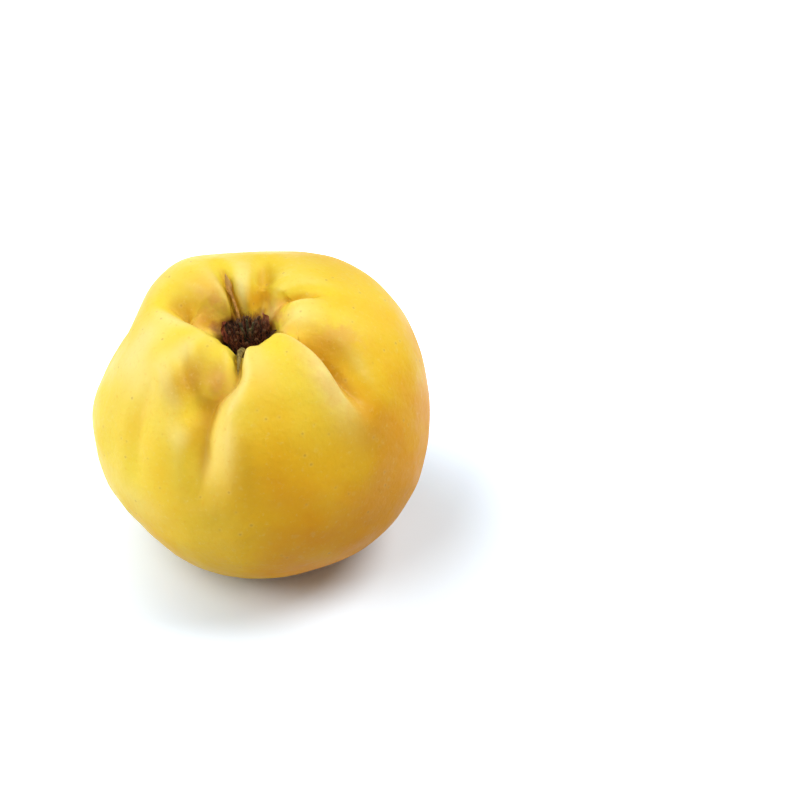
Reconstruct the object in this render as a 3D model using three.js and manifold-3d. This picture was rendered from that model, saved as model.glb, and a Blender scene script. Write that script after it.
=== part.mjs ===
// A ripe quince, as picked, resting on its stem end, with the dried calyx still in its basin.
//
// Millimetres, +Z up, the flat spot on z = 0 and the middle of the outline over the origin.
// The fruit is shaped about an axis of its own, from the stem cavity (z = -) to the calyx (z = +),
// and that axis leans a little to the front (-Y) and to the left (-X). Azimuths are degrees about
// it, 0 to the right and 270 to the front. A place on the skin is its azimuth and its distance
// along the skin from the middle of the calyx floor.

import * as THREE from 'three';
import { mergeVertices } from 'three/addons/utils/BufferGeometryUtils.js';
import { ParametricGeometry } from 'three/addons/geometries/ParametricGeometry.js';
import Module from 'manifold-3d';

// ---------------------------------------------------------------- the fruit's dimensions

// mean section, distance from the axis and height, from the calyx floor round to the stem cavity
const SECTION = [
  [0, 28.0], [4.6, 28.2], [6.9, 30.4], [8.2, 34.0], [10.0, 37.2], [13.0, 39.1], [18.5, 38.6],
  [27.0, 34.2], [36.5, 23.0], [42.8, 8.5], [44.4, -6.0], [40.6, -19.5], [32.0, -30.2],
  [21.0, -37.0], [12.5, -39.0], [6.4, -38.0], [2.8, -35.6], [0, -35.0],
];
const TILT_FORWARD = 12;
const TILT_LEFT = 3;
const CENTRE = new THREE.Vector3(-0.56, -0.67, 37.64);   // of the fruit's own axes, over the ground

// Furrows that run out of the calyx basin over the shoulder. 'azimuth' holds at REFERENCE, 'drift'
// is its change per 10 mm, and 'swing' a further turn made between the two distances of 'bend'.
// 'reach' is where the furrow starts, is full, begins to fade and ends. 'blunt' rounds its line.
// 'width', 'lip', the height of the raised edge, and 'straight', the share of a plain sloping bank
// in the profile, have two values: for the side of smaller and the side of larger azimuth. So has
// 'pinch': the share of its width that a furrow begins with by the calyx, and where it widens.
const FURROWS = [
  { azimuth: 267, drift: 1.7, swing: -19.5, bend: [24, 38], depth: 5.8, reach: [6, 18, 45, 64], blunt: 0.1,
    width: [5.6, 7.0], lip: [0, 0.6], straight: [0.4, 0.9], pinch: [[0.4, 14, 36], [0.2, 22, 42]] },
  { azimuth: 334, swing: -8, bend: [20, 44], depth: 6.2, reach: [8, 18, 33, 53], blunt: 0.2,
    width: [2.8, 4.8], lip: [1.4, 0], straight: [0.5, 0.4] },
  { azimuth: 28, drift: -12, depth: 4.6, reach: [8, 17, 21, 33], blunt: 0.15,
    width: [2.6, 2.4], lip: [0.6, 0] },
  { azimuth: 76, drift: 3, depth: 4.6, reach: [5, 11, 21, 34], blunt: 0.4,
    width: [4.2, 3.2], lip: [0, 0.5], straight: [0, 0.7] },
  { azimuth: 113, depth: 4.6, reach: [5, 12, 18, 29], blunt: 0.15, width: [1.8, 2.0] },
  { azimuth: 180, swing: -19, bend: [13, 30], depth: 7.2, reach: [7, 17, 21, 33], blunt: 0.15,
    width: [5.6, 2.6], lip: [0.2, 0.5], straight: [0.8, 0], pinch: [[0.85, 8, 20], [0.6, 8, 22]] },
  { azimuth: 220, swing: 23, bend: [22, 38], depth: 3.6, reach: [17, 28, 36, 47], blunt: 1.0,
    width: [3.0, 4.4] },
  { azimuth: 208, drift: 5, depth: 1.6, reach: [30, 40, 48, 70], blunt: 0.3, width: [4.0, 4.0] },
];
const REFERENCE = 24;
const PINCH = [[0.45, 8, 26], [0.45, 8, 26]];
const FLARE = 1.15;                              // a curved bank's fall, the power of its exponent
const BANK_ROUNDING = 0.2;                       // furrow widths, and so are the next four
const LIP_BY_CURVE = 1.7;                        // from the line to the lip, on a curved bank
const LIP_BY_SLOPE = 1.0;                        // and on a plain one
const LIP_WIDTH = 0.7;
const LIP_SPREAD = 2.6;                          // the same on the lip's outer side
const LEAST_RADIUS = 5;                          // nearer the axis than this, a furrow keeps its angle

// broad swellings and hollows: azimuth, distance, half-width in degrees, half-length, height
const SWELLINGS = [
  [246, 28, 14, 8, -1.7],
  [292, 16, 22, 6, -0.7],
  [8, 15, 22, 5, -0.7],
  [133, 34, 22, 9, 3.1],
  [152, 38, 12, 8, 0.9],
  [130, 18, 22, 9, 2.0],
  [80, 26, 18, 10, -0.8],
  [158, 50, 24, 11, -2.6],
  [192, 58, 14, 8, 0.9],
  [5, 58, 22, 13, 1.5],
  [42, 50, 38, 15, 4.0],
  [212, 90, 44, 16, -3.1],
  [282, 103, 48, 13, -2.0],
];
// the stem end is squared to the ground, by lowering it on the side of this azimuth
const LEVELLING = { azimuth: 80, at: 127, halfLength: 13, slope: 0.165 };

const ROWS = 48;
const COLUMNS = 100;
const ROW_POWER = 1.35;                          // brings the rows together near the calyx
const CROWDING = { azimuth: 296, share: 0.35 };  // columns lie this much closer at that azimuth
const FOLLOWING = 50;                            // half-width of the columns that bend with a furrow

// ---------------------------------------------------------------- the dried calyx and the stalk

// Each sepal's middle line as distance from the axis and height. 'foot' is how wide its lower part
// is, as a share of the blade, and 'turned' the degrees that the foot is twisted edge-on.
const SEPALS = [
  { azimuth: 266, halfWidth: 1.2, colour: 0x6b5f2a,
    line: [[4.9, 29.3], [6.2, 31.2], [7.8, 33.8], [9.9, 36.1], [12.4, 36.9], [15.2, 36.0], [17.8, 34.7]] },
  { azimuth: 113, halfWidth: 1.7, foot: 0.4, turned: 80, colour: 0x6e4a20,
    line: [[5.3, 29.7], [6.3, 31.9], [8.2, 34.6], [10.6, 37.0], [12.4, 39.2], [13.9, 40.7]] },
  { azimuth: 182, halfWidth: 2.0, colour: 0x4f1f14,
    line: [[4.6, 29.3], [5.5, 31.4], [5.9, 33.4], [5.7, 35.0], [4.9, 36.2]] },
  { azimuth: 42, halfWidth: 1.9, colour: 0x3c1912,
    line: [[4.6, 29.3], [5.4, 31.2], [5.8, 32.9], [5.8, 34.1], [5.2, 34.9]] },
  { azimuth: 345, halfWidth: 1.4, colour: 0x2c170c,
    line: [[4.7, 29.3], [5.5, 31.0], [6.3, 32.6], [7.1, 33.9], [8.1, 34.6]] },
];
const SEPAL_HALF_THICKNESS = 0.3;
const SEPAL_CUP = 0.5;
const SEPAL_EASING = [0.5, 0.8];                 // shares of the length over which a foot ends
const SEPAL_POINT = [2.4, 0.8];                  // powers of the outline's taper to its tip

const STAMENS = 20;                              // in two rings, every second one in each
const STAMEN_RINGS = [
  [[2.7, 28.5], [2.9, 31.1], [2.7, 33.0], [3.0, 34.7]],
  [[3.9, 28.6], [4.2, 30.8], [4.4, 32.4], [4.7, 33.7]],
];
const STAMEN_UNEVENNESS = 0.5;                   // of their heights
const STAMEN_DRIFT = 4;                          // degrees that one bends to either side
const STAMEN_WAVE = { height: 2.4, bend: 1.7 };  // radians that these two change from one to the next
const FILAMENT_RADIUS = 0.26;
const ANTHER_RADIUS = 0.48;
const ANTHER_AT = 0.9;                           // share of the filament's length
const ANTHER_HALF_LENGTH = 0.08;

const STYLES = 5;
const FIRST_STYLE = 18;                          // azimuth
const STYLE_LINE = [[1.1, 28.4], [1.15, 31.0], [1.5, 33.4], [1.9, 35.0]];
const STYLE_RADIUS = 0.42;

const STALK_LENGTH = 2.1;
const STALK_RADIUS = 1.5;
const STALK_TOP = -35.9;

// ---------------------------------------------------------------- helpers

const FULL_TURN = 2 * Math.PI;
const AXIS = new THREE.Vector3(0, 0, 1);
const { degToRad, smoothstep, euclideanModulo } = THREE.MathUtils;

// Degrees from one azimuth to another, between -180 and 180.
const turnBetween = (from, to) => euclideanModulo(to - from + 180, 360) - 180;

const bell = (x) => Math.exp(-x * x);

// A closed surface made watertight: seams and poles merged, and faces with no area dropped.
function closed(geometry) {
  geometry.deleteAttribute('normal');
  geometry.deleteAttribute('uv');
  const merged = mergeVertices(geometry, 1e-3);
  const index = merged.getIndex().array;
  const kept = [];
  for (let i = 0; i < index.length; i += 3) {
    const [a, b, c] = index.slice(i, i + 3);
    if (a !== b && b !== c && c !== a) kept.push(a, b, c);
  }
  merged.setIndex(kept);
  return facingOut(merged);
}

// Turns every face round if the closed surface encloses a negative volume.
function facingOut(geometry) {
  const position = geometry.getAttribute('position');
  const index = geometry.getIndex().array;
  const [a, b, c] = [new THREE.Vector3(), new THREE.Vector3(), new THREE.Vector3()];
  let volume = 0;
  for (let i = 0; i < index.length; i += 3) {
    a.fromBufferAttribute(position, index[i]);
    b.fromBufferAttribute(position, index[i + 1]);
    c.fromBufferAttribute(position, index[i + 2]);
    volume += a.dot(b.cross(c));
  }
  if (volume < 0) geometry.setIndex(Array.from(index).reverse());
  return geometry;
}

// The part of a closed solid that lies above the ground, with the flat spot where it is cut.
function cutAtGround(geometry, wasm) {
  const toSolid = (closedGeometry) => new wasm.Manifold(new wasm.Mesh({
    numProp: 3,
    vertProperties: new Float32Array(closedGeometry.getAttribute('position').array),
    triVerts: new Uint32Array(closedGeometry.getIndex().array),
  }));
  const groundSize = 200;
  const ground = new THREE.BoxGeometry(groundSize, groundSize, groundSize);
  ground.translate(0, 0, -groundSize / 2);
  const mesh = toSolid(geometry).subtract(toSolid(closed(ground))).getMesh();
  const result = new THREE.BufferGeometry();
  result.setAttribute('position', new THREE.BufferAttribute(mesh.vertProperties, 3));
  result.setIndex(new THREE.BufferAttribute(mesh.triVerts, 1));
  return result;
}

// A strand's thickness: 1 along most of it, rounded off to 0 at its foot and its tip. The rounding
// is the shorter, the higher the power.
const FOOT_POWER = 8;
const roundedOff = (u, tipPower) => Math.sqrt((1 - (1 - u) ** FOOT_POWER) * (1 - u ** tipPower));

// A closed strand: an oval section carried along a curve and drawn to a point at both ends.
// halfWidth and halfDepth are functions of the way along, 0 to 1, and 'side' is the unit vector
// along which the width lies. A cup bends the section's edges towards one face, and 'turned'
// twists the strand's foot by that many degrees.
function strand({ curve, side, halfWidth, halfDepth, steps, sides, cup = 0, turned = 0 }) {
  const across = new THREE.Vector3();
  const outward = new THREE.Vector3();
  const surface = (u, v, target) => {
    const along = curve.getTangentAt(u);
    across.copy(side).applyAxisAngle(along, degToRad(turned) * (1 - smoothstep(u, ...SEPAL_EASING)));
    outward.crossVectors(along, across).normalize();
    const x = Math.cos(v * FULL_TURN);
    const y = Math.sin(v * FULL_TURN);
    const width = halfWidth(u);
    curve.getPointAt(u, target);
    target.addScaledVector(across, x * width);
    target.addScaledVector(outward, y * halfDepth(u) - cup * x * x * Math.min(width, 1));
  };
  return closed(new ParametricGeometry(surface, steps, sides));
}

// A curve in the half plane of one azimuth, from points of distance from the axis and height.
// 'drift' turns it about the axis by that many degrees by its tip.
function radialCurve(azimuth, line, drift = 0) {
  return new THREE.CatmullRomCurve3(line.map(([distance, height], i) => {
    const angle = degToRad(azimuth + drift * i / (line.length - 1));
    return new THREE.Vector3(distance * Math.cos(angle), distance * Math.sin(angle), height);
  }));
}

// The unit vector along the skin, square to the half plane of an azimuth.
function tangentOf(azimuth) {
  return new THREE.Vector3(-Math.sin(degToRad(azimuth)), Math.cos(degToRad(azimuth)), 0);
}

const matt = (color, roughness) => new THREE.MeshStandardMaterial({ color, roughness, metalness: 0 });

function named(name, geometry, material) {
  const mesh = new THREE.Mesh(geometry, material);
  mesh.name = name;
  return mesh;
}

// ---------------------------------------------------------------- the fruit

// How far a furrow has turned about the axis, at a distance, from the azimuth it is given.
function wander({ drift = 0, swing = 0, bend = [0, 1] }, distance) {
  return drift * (distance - REFERENCE) / 10 + swing * smoothstep(distance, bend[0], bend[1]);
}

// The depth across a furrow, 1 at its line, at a number of widths from it.
function furrowProfile(across, straight, blunt) {
  const rounded = Math.hypot(across, blunt) - blunt;
  const plain = (1 - rounded + Math.hypot(1 - rounded, BANK_ROUNDING)) / (1 + Math.hypot(1, BANK_ROUNDING));
  return (1 - straight) * Math.exp(-(rounded ** FLARE)) + straight * plain;
}

// What one furrow takes away from the skin, and its lip adds, at a place.
function furrowRelief(furrow, distance, azimuth, radius) {
  const { lip = [0, 0], straight = [0, 0], pinch = PINCH, reach, depth, blunt } = furrow;
  const line = furrow.azimuth + wander(furrow, distance);
  const offset = degToRad(turnBetween(line, azimuth)) * Math.max(radius, LEAST_RADIUS);
  const side = offset < 0 ? 0 : 1;
  const [least, from, to] = pinch[side];
  const pinched = least + (1 - least) * smoothstep(distance, from, to);
  const across = Math.abs(offset) / (furrow.width[side] * pinched);
  const present = smoothstep(distance, reach[0], reach[1]) * (1 - smoothstep(distance, reach[2], reach[3]));
  const pastLip = across - (LIP_BY_CURVE + (LIP_BY_SLOPE - LIP_BY_CURVE) * straight[side]);
  const raised = pinched * lip[side] * bell(pastLip / (pastLip < 0 ? LIP_WIDTH : LIP_SPREAD));
  return present * (raised - depth * furrowProfile(across, straight[side], blunt));
}

// How far the skin stands out from the mean section at a distance and an azimuth.
function relief(distance, azimuth, radius) {
  let height = 0;
  for (const furrow of FURROWS) {
    height += furrowRelief(furrow, distance, azimuth, radius);
  }
  for (const [at, along, halfWidth, halfLength, swell] of SWELLINGS) {
    const aside = turnBetween(at, azimuth) / halfWidth;
    height += swell * bell(aside) * bell((distance - along) / halfLength);
  }
  const { slope, halfLength, at } = LEVELLING;
  const lowered = Math.cos(degToRad(azimuth - LEVELLING.azimuth)) * bell((distance - at) / halfLength);
  return height + slope * radius * lowered;
}

// The mean section and its mirror image, as one closed curve that starts at the calyx floor.
function sectionLoop() {
  const mirrored = SECTION.slice(1, -1).reverse().map(([radius, height]) => [-radius, height]);
  const points = [...SECTION, ...mirrored].map(([radius, height]) => new THREE.Vector3(radius, 0, height));
  const loop = new THREE.CatmullRomCurve3(points, true, 'catmullrom', 0.5);
  loop.arcLengthDivisions = 2400;
  return loop;
}

// The azimuth of a column of the grid, 0 to 1 round, bent to run along the winding front furrow.
function columnAzimuth(column, distance) {
  const even = column * 360;
  const crowded = even - CROWDING.share * Math.sin(degToRad(even - CROWDING.azimuth)) / degToRad(1);
  const [front] = FURROWS;
  return crowded + wander(front, distance) * bell(turnBetween(front.azimuth, crowded) / FOLLOWING);
}

function makeFruit(wasm, stance) {
  const loop = sectionLoop();
  const skinLength = loop.getLength() / 2;
  const surface = (u, v, target) => {
    const way = u ** ROW_POWER;
    const mean = loop.getPointAt(way / 2);
    const along = loop.getTangentAt(way / 2);
    const azimuth = columnAzimuth(v, way * skinLength);
    const atPole = u === 0 || u === 1;
    const height = atPole ? 0 : relief(way * skinLength, azimuth, mean.x);
    const radius = atPole ? 0 : mean.x - along.z * height;
    target.set(radius, 0, mean.z + along.x * height).applyAxisAngle(AXIS, degToRad(azimuth));
  };
  const geometry = closed(new ParametricGeometry(surface, ROWS, COLUMNS));
  geometry.applyMatrix4(stance);
  return named('quince_fruit', cutAtGround(geometry, wasm), matt(0xf2cc3c, 0.5));
}

// ---------------------------------------------------------------- the dried calyx

function makeSepal(sepal, number) {
  const { azimuth, line, halfWidth, foot = 1, turned = 0, colour } = sepal;
  const [fullness, sharpness] = SEPAL_POINT;
  const leafWidth = (u) => halfWidth * (foot + (1 - foot) * smoothstep(u, ...SEPAL_EASING))
    * Math.sqrt(1 - (1 - u) ** FOOT_POWER) * (1 - u ** fullness) ** sharpness;
  const leafDepth = (u) => SEPAL_HALF_THICKNESS * roundedOff(u, 6);
  const geometry = strand({
    curve: radialCurve(azimuth, line), side: tangentOf(azimuth), halfWidth: leafWidth,
    halfDepth: leafDepth, steps: 14, sides: 8, cup: SEPAL_CUP, turned,
  });
  return named(`sepal_${number}`, geometry, matt(colour, 0.85));
}

// A withered filament with the shrivelled anther at its tip.
function makeStamen(index) {
  const azimuth = index * 360 / STAMENS;
  const wobble = STAMEN_UNEVENNESS * Math.sin(index * STAMEN_WAVE.height);
  const bend = STAMEN_DRIFT * Math.sin(index * STAMEN_WAVE.bend);
  const line = STAMEN_RINGS[index % 2].map(([distance, height], i) => [distance, height + wobble * i / 3]);
  const anther = (u) => (ANTHER_RADIUS - FILAMENT_RADIUS) * bell((u - ANTHER_AT) / ANTHER_HALF_LENGTH);
  const thickness = (u) => roundedOff(u, 12) * (FILAMENT_RADIUS + anther(u));
  const geometry = strand({
    curve: radialCurve(azimuth, line, bend), side: tangentOf(azimuth),
    halfWidth: thickness, halfDepth: thickness, steps: 9, sides: 6,
  });
  return named(`stamen_${String(index + 1).padStart(2, '0')}`, geometry, matt(0x2a1a12, 0.9));
}

function makeStyle(index) {
  const azimuth = FIRST_STYLE + index * 360 / STYLES;
  const thickness = (u) => STYLE_RADIUS * roundedOff(u, 10);
  const geometry = strand({
    curve: radialCurve(azimuth, STYLE_LINE), side: tangentOf(azimuth),
    halfWidth: thickness, halfDepth: thickness, steps: 8, sides: 6,
  });
  return named(`style_${index + 1}`, geometry, matt(0x3a2a1c, 0.9));
}

// ---------------------------------------------------------------- the stalk

// What is left of the stalk where the fruit broke off: a short woody stub, wider at the break.
function makeStalk() {
  const end = STALK_TOP - STALK_LENGTH;
  const profile = [
    [0, end], [STALK_RADIUS * 1.2, end + 0.1], [STALK_RADIUS * 1.25, end + 0.6],
    [STALK_RADIUS, end + 1.2], [STALK_RADIUS, STALK_TOP - 0.2],
    [STALK_RADIUS * 0.8, STALK_TOP], [0, STALK_TOP],
  ].map(([radius, height]) => new THREE.Vector2(radius, height));
  const lathe = new THREE.LatheGeometry(profile, 14);
  lathe.rotateX(Math.PI / 2);
  return named('stalk_stub', closed(lathe), matt(0x6a4a2a, 0.9));
}

// ---------------------------------------------------------------- assembly

// The lean of the fruit's axis: x' stays as near to X as it can, z' points to the calyx.
function leaningStance() {
  const toCalyx = new THREE.Vector3(-Math.sin(degToRad(TILT_LEFT)), -Math.sin(degToRad(TILT_FORWARD)), 0);
  toCalyx.z = Math.sqrt(1 - toCalyx.lengthSq());
  const toRight = new THREE.Vector3(1, 0, 0).addScaledVector(toCalyx, -toCalyx.x).normalize();
  const toBack = new THREE.Vector3().crossVectors(toCalyx, toRight);
  return new THREE.Matrix4().makeBasis(toRight, toBack, toCalyx).setPosition(CENTRE);
}

const wasm = await Module();
wasm.setup();
const stance = leaningStance();

const leaning = new THREE.Group();
leaning.applyMatrix4(stance);
SEPALS.forEach((sepal, i) => leaning.add(makeSepal(sepal, i + 1)));
for (let i = 0; i < STAMENS; i += 1) leaning.add(makeStamen(i));
for (let i = 0; i < STYLES; i += 1) leaning.add(makeStyle(i));
leaning.add(makeStalk());

const quince = new THREE.Group();
quince.add(makeFruit(wasm, stance));
quince.add(leaning);

export default quince;
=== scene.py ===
import math

import bpy
import numpy as np
from mathutils import Matrix, Vector


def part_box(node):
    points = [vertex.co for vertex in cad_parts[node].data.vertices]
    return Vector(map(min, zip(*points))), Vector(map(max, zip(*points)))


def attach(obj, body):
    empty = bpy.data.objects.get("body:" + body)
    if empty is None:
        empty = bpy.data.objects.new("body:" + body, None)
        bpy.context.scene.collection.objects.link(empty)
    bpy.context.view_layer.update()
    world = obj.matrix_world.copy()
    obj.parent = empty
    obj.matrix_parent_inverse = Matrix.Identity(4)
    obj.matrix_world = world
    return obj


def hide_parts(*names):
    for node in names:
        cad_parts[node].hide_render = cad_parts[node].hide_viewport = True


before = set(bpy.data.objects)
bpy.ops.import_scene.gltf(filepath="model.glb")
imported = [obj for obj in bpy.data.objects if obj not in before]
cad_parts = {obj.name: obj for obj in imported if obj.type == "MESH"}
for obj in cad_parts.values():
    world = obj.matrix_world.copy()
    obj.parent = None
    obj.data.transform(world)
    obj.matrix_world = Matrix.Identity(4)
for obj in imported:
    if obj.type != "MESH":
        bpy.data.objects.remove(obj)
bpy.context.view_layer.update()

# ---------------------------------------------------------------- the fruit

# The quince itself: firm flesh in one piece, under a thin waxy skin that is lemon yellow at its
# upper left and golden towards its lower right, a gold that is partly its own and partly painted
# shade. Furrows run out of the calyx basin and part the shoulder into lobes, and the stem end is
# squashed a little where the fruit rests on it.

# Lengths are in millimetres about the fruit's own axis, which runs from the stem cavity (z = -) to
# the calyx (z = +), as in the solids. A place on the skin is its azimuth in degrees, 0 to the right
# and 270 to the front, and its distance along the skin from the middle of the calyx floor.
MM = 0.001

# mean section, distance from the axis and height, from the calyx floor round to the stem cavity
SECTION = np.array([
    [0, 28.0], [4.6, 28.2], [6.9, 30.4], [8.2, 34.0], [10.0, 37.2], [13.0, 39.1], [18.5, 38.6],
    [27.0, 34.2], [36.5, 23.0], [42.8, 8.5], [44.4, -6.0], [40.6, -19.5], [32.0, -30.2],
    [21.0, -37.0], [12.5, -39.0], [6.4, -38.0], [2.8, -35.6], [0, -35.0],
])
SECTION_STEP = 1e-4                     # to either side, for its direction at a place
TILT_FORWARD = 12
TILT_LEFT = 3
CENTRE = (-0.56, -0.67, 37.64)          # of the fruit's own axes, over the ground

# Furrows: 'azimuth' holds at REFERENCE, 'drift' is its change per 10 mm, and 'swing' a further turn
# made between the two distances of 'bend'. 'reach' is where the furrow starts, is full, begins to
# fade and ends. 'width', 'lip', the height of the raised edge, and 'straight', the share of a plain
# sloping bank in the profile, are for the side of smaller and larger azimuth, and so is 'pinch':
# the share of its width that a furrow begins with by the calyx, and where it widens.
FURROWS = [
    dict(azimuth=267, drift=1.7, swing=-19.5, bend=(24, 38), depth=5.8, reach=(6, 18, 45, 64),
         blunt=0.1, width=(5.6, 7.0), lip=(0, 0.6), straight=(0.4, 0.9),
         pinch=((0.4, 14, 36), (0.2, 22, 42))),
    dict(azimuth=334, swing=-8, bend=(20, 44), depth=6.2, reach=(8, 18, 33, 53), blunt=0.2,
         width=(2.8, 4.8), lip=(1.4, 0), straight=(0.5, 0.4)),
    dict(azimuth=28, drift=-12, depth=4.6, reach=(8, 17, 21, 33), blunt=0.15,
         width=(2.6, 2.4), lip=(0.6, 0)),
    dict(azimuth=76, drift=3, depth=4.6, reach=(5, 11, 21, 34), blunt=0.4,
         width=(4.2, 3.2), lip=(0, 0.5), straight=(0, 0.7)),
    dict(azimuth=113, depth=4.6, reach=(5, 12, 18, 29), blunt=0.15, width=(1.8, 2.0)),
    dict(azimuth=180, swing=-19, bend=(13, 30), depth=7.2, reach=(7, 17, 21, 33), blunt=0.15,
         width=(5.6, 2.6), lip=(0.2, 0.5), straight=(0.8, 0),
         pinch=((0.85, 8, 20), (0.6, 8, 22))),
    dict(azimuth=220, swing=23, bend=(22, 38), depth=3.6, reach=(17, 28, 36, 47), blunt=1.0,
         width=(3.0, 4.4)),
    dict(azimuth=208, drift=5, depth=1.6, reach=(30, 40, 48, 70), blunt=0.3, width=(4.0, 4.0)),
]
REFERENCE = 24
PINCH = ((0.45, 8, 26), (0.45, 8, 26))
FLARE = 1.15                            # a curved bank's fall, the power of its exponent
BANK_ROUNDING = 0.2                     # furrow widths, and so are the next four
LIP_BY_CURVE = 1.7                      # from the line to the lip, on a curved bank
LIP_BY_SLOPE = 1.0                      # and on a plain one
LIP_WIDTH = 0.7
LIP_SPREAD = 2.6                        # the same on the lip's outer side
LEAST_RADIUS = 5                        # nearer the axis than this, a furrow keeps its angle

# broad swellings and hollows: azimuth, distance, half-width in degrees, half-length, height
SWELLINGS = [
    (246, 28, 14, 8, -1.7),
    (292, 16, 22, 6, -0.7),
    (8, 15, 22, 5, -0.7),
    (133, 34, 22, 9, 3.1),
    (152, 38, 12, 8, 0.9),
    (130, 18, 22, 9, 2.0),
    (80, 26, 18, 10, -0.8),
    (158, 50, 24, 11, -2.6),
    (192, 58, 14, 8, 0.9),
    (5, 58, 22, 13, 1.5),
    (42, 50, 38, 15, 4.0),
    (212, 90, 44, 16, -3.1),
    (282, 103, 48, 13, -2.0),
]
# the stem end is squared to the ground: azimuth, distance, half-length, slope
LEVELLING = (80, 127, 13, 0.165)

# slight unevenness of the skin: heights, sizes across and seeds of its random waves
UNEVENNESS = [(0.22, 13, 3), (0.07, 4.5, 4)]
# and puckers that run out from the calyx, the same, with the size taken on a circle of this radius
PUCKERS = (0.22, 4, 5)
PUCKER_CIRCLE = 26
PUCKER_RING = (15, 6)                   # distance and half-length of where they lie
WAVELENGTHS = (1.4, 2.6)                # of an unevenness, in sizes, from and to
HIGHEST = 1.6                           # its highest places, in standard deviations

ROWS = 256
COLUMNS = 384
ROW_POWER = 1.35                        # brings the rows together near the calyx
CROWDED_AT = 296                        # columns lie closer together at this azimuth
CROWDING = 0.35
FOLLOWING = 50                          # half-width of the columns that bend with a furrow

# colours of the skin
LEMON = (0.91, 0.70, 0.055, 1)
YELLOW = (0.90, 0.57, 0.018, 1)
GOLD = (0.82, 0.36, 0.003, 1)
# pale yellow, for flecks and pore rings, and as painted highlight on the ridges and highlight
# places
PALE_AND_HIGHLIGHT = (0.95, 0.79, 0.25, 1)
# painted shade: a deep orange brown for the folds and the shaded places
DEEP_SHADE = (0.60, 0.31, 0.006, 1)
TAN = (0.79, 0.40, 0.090, 1)
RUSSET = (0.48, 0.20, 0.012, 1)
UMBER = (0.36, 0.13, 0.020, 1)
CORK = (0.022, 0.009, 0.004, 1)

# places that are more golden, partly as painted shade, that hold painted shade, that are rubbed,
# and that hold painted highlight: azimuth, distance, half-width in degrees, half-length and share
PLACES = {
    # more golden, partly as painted shade
    "golden_and_shaded": [
        (282, 56, 32, 18, 0.42), (60, 46, 22, 14, 0.50), (140, 18, 12, 6, 0.50),
        (80, 12, 26, 4, 0.60), (217, 48, 6, 9, 0.25),
    ],
    # painted shade
    "painted_shade": [
        (231, 30, 10, 8, 0.95), (247, 43, 5, 6, 0.65), (152, 20, 14, 7, 0.22),
        (166, 14, 12, 4, 0.45), (165, 11.5, 14, 2.5, 0.70), (340, 30, 8, 8, 0.90),
        (334, 38, 6, 6, 0.15), (75, 36, 45, 14, 0.18), (322, 55, 14, 15, 0.50),
        (204, 50, 6, 22, 0.14), (158, 22, 7, 5, 0.50), (123, 17, 5, 4, 0.40),
        (250, 27, 11, 5, 0.80), (138, 9, 22, 2.5, 0.75), (78, 20, 8, 5, 0.25),
        (271, 50, 4, 9, 0.35), (256, 60, 12, 9, 0.30),
    ],
    "rubbed": [
        (252, 29, 8, 5, 0.6), (142, 15, 12, 5, 0.6), (45, 11, 16, 4, 0.5),
        (175, 14, 26, 3, 0.5), (10, 12, 30, 3, 0.7), (316, 37, 7, 11, 0.35),
        (350, 31, 9, 7, 0.5),
    ],
    # painted highlight
    "painted_highlight": [
        (258, 43, 5, 12, 0.6), (213, 25, 7, 7, 0.7), (192, 36, 10, 9, 0.8),
        (282, 22, 12, 8, 0.5), (316, 37, 7, 12, 0.6), (0, 19, 14, 5, 0.8),
        (97, 18, 5, 7, 0.6), (50, 9.5, 14, 3, 0.8), (145, 14, 12, 4, 0.2),
        (101, 16, 6, 4, 0.6), (264, 31, 5, 6, 0.6), (183, 31, 12, 7, 0.5),
        (183, 14, 10, 3, 0.5), (208, 39, 14, 6, 0.4), (226, 69, 14, 5, 0.4),
    ],
}
MOST_SHARE = 0.95                       # of such a colour, where places meet

# The skin ripens from lemon over yellow to gold, and the gold also stands for painted shade on its
# lower right. Ripeness and that shade grow together along the side given below, by so much to the
# metre, and waver with a mottle and with streaks that run along the skin.
GOLDEN_AND_SHADED_SIDE = (17.0, -3.0, -14.0)       # to the right, down and a little to the front
STREAK_SHARE = 0.16
STREAKS = (9, 6)                        # size on a circle of STREAK_CIRCLE, and seed
STREAK_CIRCLE = 40
STREAK_LENGTHENING = 0.12               # share that distances along the skin count for in them

# Tones are laid over a colour one by one, each where a value goes from one number to another, up
# to a share: here by the ripeness, with its painted shade, by how far a place stands out from the
# skin round it, which paints highlight on the ridges and shade, down to russet, in the folds, by a
# fine noise, and by the distance from the middle of the calyx, whose floor is dark and corky.
RIPE_AND_SHADE_TONES = [(-0.6, 0.2, 1, YELLOW), (0.1, 0.75, 1, GOLD)]
RIDGE_HIGHLIGHT_AND_SHADE_TONES = [(0.1, 1.0, 0.75, PALE_AND_HIGHLIGHT), (-0.2, -1.4, 0.6, DEEP_SHADE), (-1.3, -2.6, 0.3, RUSSET)]
FLECK_TONES = [(0.55, 0.80, 0.25, PALE_AND_HIGHLIGHT), (0.45, 0.20, 0.30, GOLD)]
CORK_TONES = [(11.4, 9.2, 0.8, UMBER), (9.8, 8.0, 1, CORK)]
RIDGE_PASSES = 90                       # of averaging, for the skin round a place
RIDGE_START = (9, 16)                   # ridges count from here on
# what moves the edge of the cork, in millimetres: a noise, and the places of painted shade and of
# painted highlight
CORK_WAVER = 3.0
CORK_MOVED = {"painted_shade": -2.4, "painted_highlight": 2.0}

# noises of the skin: bumps to the metre, levels of finer detail, and their roughness
MOTTLE_NOISE = (60, 4)
RUBBED_NOISE = (260, 3)
FLECK_NOISE = (900, 3, 0.65)
PORE_NOISE = (150, 2)
CORK_NOISE = (420, 3)
LEATHER_NOISE = (500, 4)
GLOSS_NOISE = (90, 3)

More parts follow.
